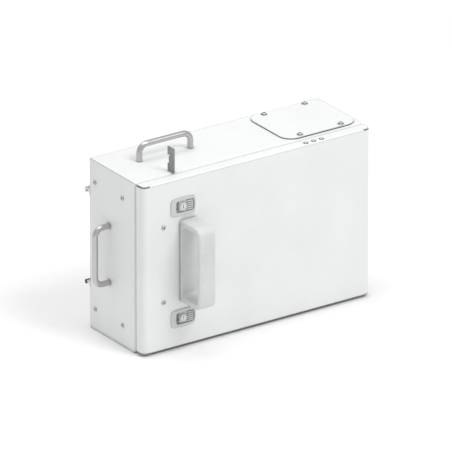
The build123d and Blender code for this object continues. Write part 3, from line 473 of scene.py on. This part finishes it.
# ---------------------------------------------------------------- fasteners
# A screw's head over its shank, a head's height over its radius, and a nut's width over its hole.
HEAD_TO_SHANK = 1.9
HEAD_HEIGHT = 2.75 / 4.75
NUT_TO_HOLE = 1.65
# The M5 head across, and the radius and thickness of the washer under it, in millimetres.
WASHED_HEAD = 9.5
COVER_WASHER = (6.5, 1.0)
# Dome of a head, as parts of its radius and height.
DOME = ((0.96, 0.0), (1.0, 0.10), (0.985, 0.30), (0.93, 0.52), (0.84, 0.72), (0.72, 0.89), (0.60, 1.0))


def button_screw(bm, place, head, height, length, washer=None):
    """Domed screw with a chamfered six-sided socket, and a washer under its head if it has one."""
    shank = head / HEAD_TO_SHANK
    key = shank * 0.62
    rings = [(shank * 0.8, -length), (shank, -length + shank * 0.2), (shank, 0)]
    if washer:
        radius, thick = washer
        rings[-1] = (shank, -thick)
        rings += [(radius * 0.97, -thick), (radius, -thick * 0.8), (radius, -thick * 0.2), (radius * 0.97, 0)]
    rings += [(head * reach, height * rise) for reach, rise in DOME]
    rings += [
        (key * 1.3, height),
        (key, height * 0.93, "hex"),
        (key, height * 0.4, "hex"),
        (key * 0.4, height * 0.3),
    ]
    turned(bm, rings, place)


def hex_nut(bm, place, flat, height, hole):
    """Six-sided nut with turned corners and a chamfered hole."""
    rings = [
        (hole * 1.15, 0),
        (flat * 0.97, 0),
        (flat, height * 0.12, "hex"),
        (flat, height * 0.88, "hex"),
        (flat * 0.97, height),
        (hole * 1.15, height),
        (hole, height * 0.9),
        (hole, height * 0.1),
    ]
    turned(bm, rings, place, ring_shaped=True)


def screw_set(node, body, axis_of, washer=None):
    """Detailed screws and nuts in the places of a CAD node's solids."""
    bm = bmesh.new()
    for low, high in solids(node):
        axis = axis_of((low + high) / 2)
        side = 1 if (low + high)[axis] / 2 > case_centre[axis] else -1
        size = [value / MM for value in high - low]
        across = [size[other] for other in range(3) if other != axis]
        outer = high if side > 0 else low
        centre = (low + high) / 2
        centre[axis] = outer[axis]
        outward = AXES[axis] * side
        if size[axis] < 0.5 * max(across):
            # A nut, which is flatter than any screw.
            flat = min(across) / 2
            hex_nut(bm, stand(centre, -outward), flat, size[axis], flat / NUT_TO_HOLE)
            continue
        head = (max(across) if not washer else WASHED_HEAD) / 2
        height = head * HEAD_HEIGHT
        place = stand(centre - outward * height * MM, outward)
        button_screw(bm, place, head, height, size[axis] - height, washer)
    piece(node + "_detailed", bm, body, slot_of[node], screw_steel, replaced=node)


def fasteners():
    screw_set("door_screws", "door", lambda centre: 1)
    screw_set("back_panel_screws", "case", lambda centre: 1)
    # Case screws near a side wall run along X, and the rest along Y.
    screw_set("case_screws", "case", lambda centre: 0 if abs(centre.x) > 0.96 * case_high.x else 1)
    screw_set("service_cover_screws", "case", lambda centre: 2, washer=COVER_WASHER)


# ---------------------------------------------------------------- door seal
def door_seal():
    """Hollow-bulb foam seal with two low lips, bent round the door's inner frame."""
    width, lip, corner, steps = 9 * MM, 0.35, 6.5 * MM, 8
    low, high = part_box("door_gasket")
    depth = high.y - low.y
    section = [(-0.5, 0.0), (-0.5, lip), (-0.42, lip + 0.08), (-0.34, lip)]
    for step in range(steps + 1):
        angle = math.pi * (1 - step / steps)
        section.append((0.30 * math.cos(angle), lip + (1 - lip) * math.sin(angle)))
    section += [(0.34, lip), (0.42, lip + 0.08), (0.5, lip), (0.5, 0.0)]
    reach_x, reach_z = ((high.x - low.x) - width) / 2 - corner, ((high.z - low.z) - width) / 2 - corner
    middle = (low + high) / 2
    bm = bmesh.new()
    loops = []
    for turn, (side_x, side_z) in enumerate(((1, 1), (-1, 1), (-1, -1), (1, -1))):
        for step in range(steps + 1):
            angle = math.pi / 2 * (turn + step / steps)
            out_x, out_z = math.cos(angle), math.sin(angle)
            loop = []
            for across, rise in section:
                reach = corner + across * width
                point = (middle.x + side_x * reach_x + out_x * reach, low.y + rise * depth,
                         middle.z + side_z * reach_z + out_z * reach)
                loop.append(bm.verts.new(point))
            loops.append(loop)
    count = len(section)
    for first, second in zip(loops, loops[1:] + loops[:1]):
        for index in range(count):
            after = (index + 1) % count
            bm.faces.new((first[index], first[after], second[after], second[index]))
    piece("door_seal", bm, "door", "black_rubber", dark_rubber, replaced="door_gasket")


# ---------------------------------------------------------------- cell module
# Turned profiles, as radius and height in millimetres.
TERMINAL_RING = ((8.1, 0), (11, 0), (11, 0.5), (10.6, 0.8), (8.5, 0.8), (8.1, 0.5))
VENT = ((8, -0.1), (8, 0.25), (7.6, 0.45), (6.2, 0.45), (5.9, 0.15), (5.2, 0.15), (4.9, 0.45), (0.8, 0.7))
FILL_PLUG = ((2.6, -0.1), (2.6, 0.5), (2.2, 0.8), (0.5, 1.0))
BOOT = (
    (9.6, -3.6), (9.8, -3.2), (9.8, 0.5), (9.2, 1.2), (8.4, 1.8),
    (8.2, 4.6), (7.6, 6.0), (6.2, 6.8), (2, 7.0),
)
SLEEVE = (
    (5.75, -9.5), (5.95, -9.0), (6.0, -2), (5.9, 0.3), (5.2, 1.6), (4.95, 3),
    (4.85, 6), (4.6, 6.4), (4.4, 6.4), (4.4, 0), (5.55, -0.4), (5.55, -9.5),
)


def cell_fittings():
    """Film seams, vents and terminal rings of the cells, and the boots on the module's two end terminals."""
    bolts = solids("busbar_screws")
    rows = sorted({round((low.y + high.y) / 2, 4) for low, high in bolts})
    bm = bmesh.new()
    for low, high in solids("battery_cells"):
        x = (low.x + high.x) / 2
        film_top = high.z - 2 * MM
        for y in rows:
            turned(bm, TERMINAL_RING, stand((x, y, film_top), AXES[2]), ring_shaped=True, finish=1)
        turned(bm, VENT, stand((x, sum(rows) / 2, film_top), AXES[2]), finish=2)
        turned(bm, FILL_PLUG, stand((x, sum(rows) / 2 + 24 * MM, film_top), AXES[2]), finish=2)
        # Overlap of the film down the middle of the front and rear faces, 4 mm short of their ends.
        flap = (7, 0.16, (film_top - low.z) / 2 / MM - 4)
        for face_y, out in ((low.y, -1), (high.y, 1)):
            centre = Vector((x, face_y + out * 0.06 * MM, (low.z + film_top) / 2))
            rounded_block(bm, centre, flap, 0.15, segments=2)
    piece("cell_fittings", bm, "case", "cell_case", film_seam, black_moulding, aluminium)

    front_row = [box for box in bolts if (box[0].y + box[1].y) / 2 < sum(rows) / 2]
    end_terminals = (
        ("negative_boot", "black_cable", black_jacket, front_row[0]),
        ("positive_boot", "red_cable", red_jacket, front_row[-1]),
    )
    for name, slot, jacket, (low, high) in end_terminals:
        bm = bmesh.new()
        turned(bm, BOOT, stand(((low.x + high.x) / 2, (low.y + high.y) / 2, low.z), AXES[2]))
        piece(name, bm, "case", slot, jacket)


def lead_sleeves():
    """Heat-shrink sleeves over the crimp barrels, tapering down onto each cable."""
    # Distances from a lead's box to its lug's eye and to its barrel's axis.
    eye, barrel = 8 * MM, 5.5 * MM
    contactor_axis, fuse_axis, block_axis = 7 * MM, 9 * MM, 7 * MM
    # Distances from the eye to the barrel's end.
    reach, short_reach = 24 * MM, 22 * MM
    black_low, black_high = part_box("negative_lead")
    red_low, red_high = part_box("positive_lead")
    out_low, out_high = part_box("output_lead")
    module_z = red_high.z - barrel
    right, rear, up = AXES
    black_ends = (
        ((black_low.x + eye, black_low.y + eye + reach, module_z), rear),
        ((black_high.x - eye - reach, black_high.y - eye, black_high.z - barrel), -right),
    )
    red_ends = (
        ((red_low.x + eye + reach, red_low.y + eye, module_z), right),
        ((red_high.x - eye, red_high.y - contactor_axis, red_low.z + eye + reach), up),
        ((out_high.x - eye, out_high.y - fuse_axis, out_low.z + eye + reach), up),
        ((out_low.x + eye + short_reach, out_low.y + block_axis, out_high.z - barrel), right),
    )
    sets = (
        ("negative_sleeves", "black_cable", black_jacket, black_ends),
        ("positive_sleeves", "red_cable", red_jacket, red_ends),
    )
    for name, slot, jacket, ends in sets:
        bm = bmesh.new()
        for origin, direction in ends:
            turned(bm, SLEEVE, stand(Vector(origin), direction), ring_shaped=True)
        piece(name, bm, "case", slot, jacket)


# ---------------------------------------------------------------- switchgear
# Depth of the terminal face behind the contactor's front, and the studs' distance from its middle.
TERMINAL_DEPTH = 16 * MM
STUD_OFFSET = 15 * MM
# Distance of the eyes from the ends of the link bar and fuse.
LINK_EYE = 7 * MM
# Hole, nut and washer of an M8 stud, in millimetres: two radii, and the washer's cross-section.
STUD_HOLE = 4.05
NUT_FLAT = 6.5
WASHER = ((STUD_HOLE, 0), (7.6, 0), (7.8, 0.2), (7.8, 0.9), (7.6, 1.1), (STUD_HOLE, 1.1))


def device_nuts():
    """Washers and nuts that clamp the lugs and link bars on the contactor's and fuse holder's studs."""
    bar_low, bar_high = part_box("fuse_link")
    contactor_low, contactor_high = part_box("contactor")
    face = contactor_low.y + TERMINAL_DEPTH
    height = (contactor_low.z + contactor_high.z) / 2
    middle = (contactor_low.x + contactor_high.x) / 2
    # What each stud clamps, in millimetres, by the stud's X.
    clamped = {
        middle - STUD_OFFSET: 3,
        middle + STUD_OFFSET: 3,
        bar_low.x + LINK_EYE: 5,
        bar_high.x - LINK_EYE: 8,
    }
    bm = bmesh.new()
    for x, thickness in clamped.items():
        place = stand(Vector((x, face - thickness * MM, height)), -AXES[1])
        turned(bm, WASHER, place, ring_shaped=True)
        hex_nut(bm, place @ Matrix.Translation((0, 0, WASHER[-1][1])), NUT_FLAT, 5, STUD_HOLE)
    # Spacer behind the fuse blade, level with the link bar at its other end.
    spacer = stand(Vector((bar_high.x - LINK_EYE, face, height)), -AXES[1])
    turned(bm, [(STUD_HOLE, 0), (8, 0), (8, 3), (STUD_HOLE, 3)], spacer, ring_shaped=True)
    piece("device_nuts", bm, "case", "fastener", screw_steel)


def fuse_cartridge():
    """Ceramic fuse tube with turned end caps and bolted blades."""
    low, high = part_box("fuse_link")
    radius = (high.z - low.z) / 2 / MM
    middle = (low + high) / 2
    tube_start, tube_length = low.x + 20 * MM, 34
    bm = bmesh.new()
    place = stand(Vector((tube_start, middle.y, middle.z)), AXES[0])
    cap = [(2, 0), (7, 0), (radius - 0.5, 0.5), (radius, 1.2)]
    cap += [(radius, 6.2), (radius - 0.25, 6.6), (radius - 0.6, 6.6)]
    turned(bm, cap, place, finish=1)
    turned(bm, [(r, tube_length - h) for r, h in cap[::-1]], place, finish=1)
    tube = [(radius - 0.9, 6), (radius - 0.7, 7)]
    turned(bm, tube + [(r, tube_length - h) for r, h in tube[::-1]], place)
    for start, end in ((low.x, tube_start + 1 * MM), (tube_start + (tube_length - 1) * MM, high.x)):
        centre = Vector(((start + end) / 2, middle.y, middle.z))
        rounded_block(bm, centre, ((end - start) / 2 / MM, 1, 7), 0.5, finish=2)
    piece("fuse_cartridge", bm, "case", "fuse_body", ceramic, plated, copper, replaced="fuse_link")


def switchgear_trim():
    """Barrier, coil terminals and side ribs of the contactor, and ribs of the fuse holder."""
    low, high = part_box("contactor")
    middle = (low + high) / 2
    face = low.y + TERMINAL_DEPTH
    bm = bmesh.new()
    # Barrier between the two studs, which stands 9 mm out of the terminal face.
    rounded_block(bm, Vector((middle.x, face - 4 * MM, middle.z)), (1.2, 5, 12), 0.6)
    # Coil terminals, two flat blades that point down.
    for side in (-1, 1):
        centre = Vector((middle.x + side * 9 * MM, face + 12.4 * MM, low.z - 3.5 * MM))
        rounded_block(bm, centre, (3.2, 0.4, 4.5), 0.3, finish=1, segments=2)
    # Upright ribs that stand 0.8 mm out of both sides of the contactor's body.
    rib = ((high.x - low.x) / 2 / MM + 0.8, 1.2, (high.z - low.z) / 2 / MM - 9)
    for step in range(-2, 3):
        rounded_block(bm, Vector((middle.x, middle.y + (18 + step * 7) * MM, middle.z)), rib, 0.5)
    # Upright ribs on the front of the fuse holder's base, which is 30 mm behind the ends of its studs.
    holder_low, holder_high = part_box("fuse_holder")
    holder_middle = (holder_low + holder_high) / 2
    rib = (1, 1, (holder_high.z - holder_low.z) / 2 / MM - 5)
    for step in range(-2, 3):
        centre = Vector((holder_middle.x + step * 6 * MM, holder_low.y + 30 * MM, holder_middle.z))
        rounded_block(bm, centre, rib, 0.4)
    piece("switchgear_trim", bm, "case", "insulation", black_moulding, plated)


def sense_sockets():
    """Row of white header sockets with gilt pins on the management unit's connector end."""
    low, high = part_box("bms_unit")
    sockets, socket_pitch = 3, 19 * MM
    pins, pin_pitch = 7, 2.1 * MM
    z = low.z + 12 * MM
    bm = bmesh.new()
    for index in range(sockets):
        y = (index - (sockets - 1) / 2) * socket_pitch
        start = len(bm.faces)
        rounded_block(bm, Vector((high.x + 2 * MM, y, z)), (3, 8.5, 4.5), 0.5)
        bm.faces.ensure_lookup_table()
        # The block's outer face, which becomes the socket's mouth.
        mouth = max(bm.faces[start:], key=lambda face: face.calc_center_median().x * 1000 + face.calc_area())
        bmesh.ops.inset_region(bm, faces=[mouth], thickness=0.9 * MM)
        walls = bmesh.ops.extrude_face_region(bm, geom=[mouth])["geom"]
        floor_verts = [item for item in walls if isinstance(item, bmesh.types.BMVert)]
        bmesh.ops.translate(bm, verts=floor_verts, vec=(-4.5 * MM, 0, 0))
        bmesh.ops.delete(bm, geom=[mouth], context="FACES_ONLY")
        for pin in range(pins):
            pin_y = y + (pin - (pins - 1) / 2) * pin_pitch
            centre = Vector((high.x + 2 * MM, pin_y, z))
            rounded_block(bm, centre, (2, 0.35, 0.35), 0.1, finish=1, segments=1)
    piece("sense_sockets", bm, "case", "insulation", white_header, gilt)


# ---------------------------------------------------------------- stage, lights and camera
def stage():
    """Large pale floor."""
    s = Shader("pale_floor", (0.90, 0.90, 0.90), 0.7)
    s.paint(s.blend(s.noise(1.5, 3), (0.885, 0.885, 0.885, 1), (0.905, 0.905, 0.905, 1)))
    bm = bmesh.new()
    bmesh.ops.create_grid(bm, x_segments=8, y_segments=8, size=12)
    mesh = bpy.data.meshes.new("floor")
    bm.to_mesh(mesh)
    bm.free()
    floor = bpy.data.objects.new("floor", mesh)
    bpy.context.scene.collection.objects.link(floor)
    mesh.materials.append(s.material)


def softbox(name, place, size, power):
    light = bpy.data.lights.new(name, "AREA")
    light.shape = "DISK"
    light.size = size
    light.energy = power
    obj = bpy.data.objects.new(name, light)
    obj.location = place
    obj.rotation_euler = (Vector((0, 0, 0.15)) - Vector(place)).to_track_quat("-Z", "Y").to_euler()
    bpy.context.scene.collection.objects.link(obj)


def lights():
    """Even white surroundings, with the light coming mostly from the front right and above."""
    world = bpy.data.worlds.new("studio")
    bpy.context.scene.world = world
    world.use_nodes = True
    sky = world.node_tree.nodes["Background"]
    sky.inputs["Color"].default_value = (1, 1, 1, 1)
    sky.inputs["Strength"].default_value = 0.72
    softbox("key", (1.1, -3.2, 4.7), 2.4, 125)
    softbox("overhead", (-0.6, 0.8, 4.5), 3.0, 60)
    bpy.context.scene.view_settings.view_transform = "Standard"


def camera():
    """Long lens from the front left and above, with hardly any perspective."""
    azimuth, elevation = math.radians(-34.4), math.radians(23.15)
    distance = 26.0
    frame_width = 0.8859
    target = Vector((-2.5, 1.2, 179.1)) * MM
    right = Vector((math.cos(azimuth), math.sin(azimuth), 0))
    level = Vector((math.sin(azimuth), -math.cos(azimuth), 0))
    back = level * math.cos(elevation) + AXES[2] * math.sin(elevation)
    data = bpy.data.cameras.new("camera")
    data.sensor_width = 36
    data.lens = data.sensor_width * distance / frame_width
    data.clip_end = 100
    obj = bpy.data.objects.new("camera", data)
    bpy.context.scene.collection.objects.link(obj)
    turn = Matrix((right, back.cross(right), back)).transposed().to_4x4()
    obj.matrix_world = Matrix.Translation(target + back * distance) @ turn
    bpy.context.scene.camera = obj


fasteners()
door_seal()
cell_fittings()
lead_sleeves()
device_nuts()
fuse_cartridge()
switchgear_trim()
sense_sockets()
stage()
lights()
camera()
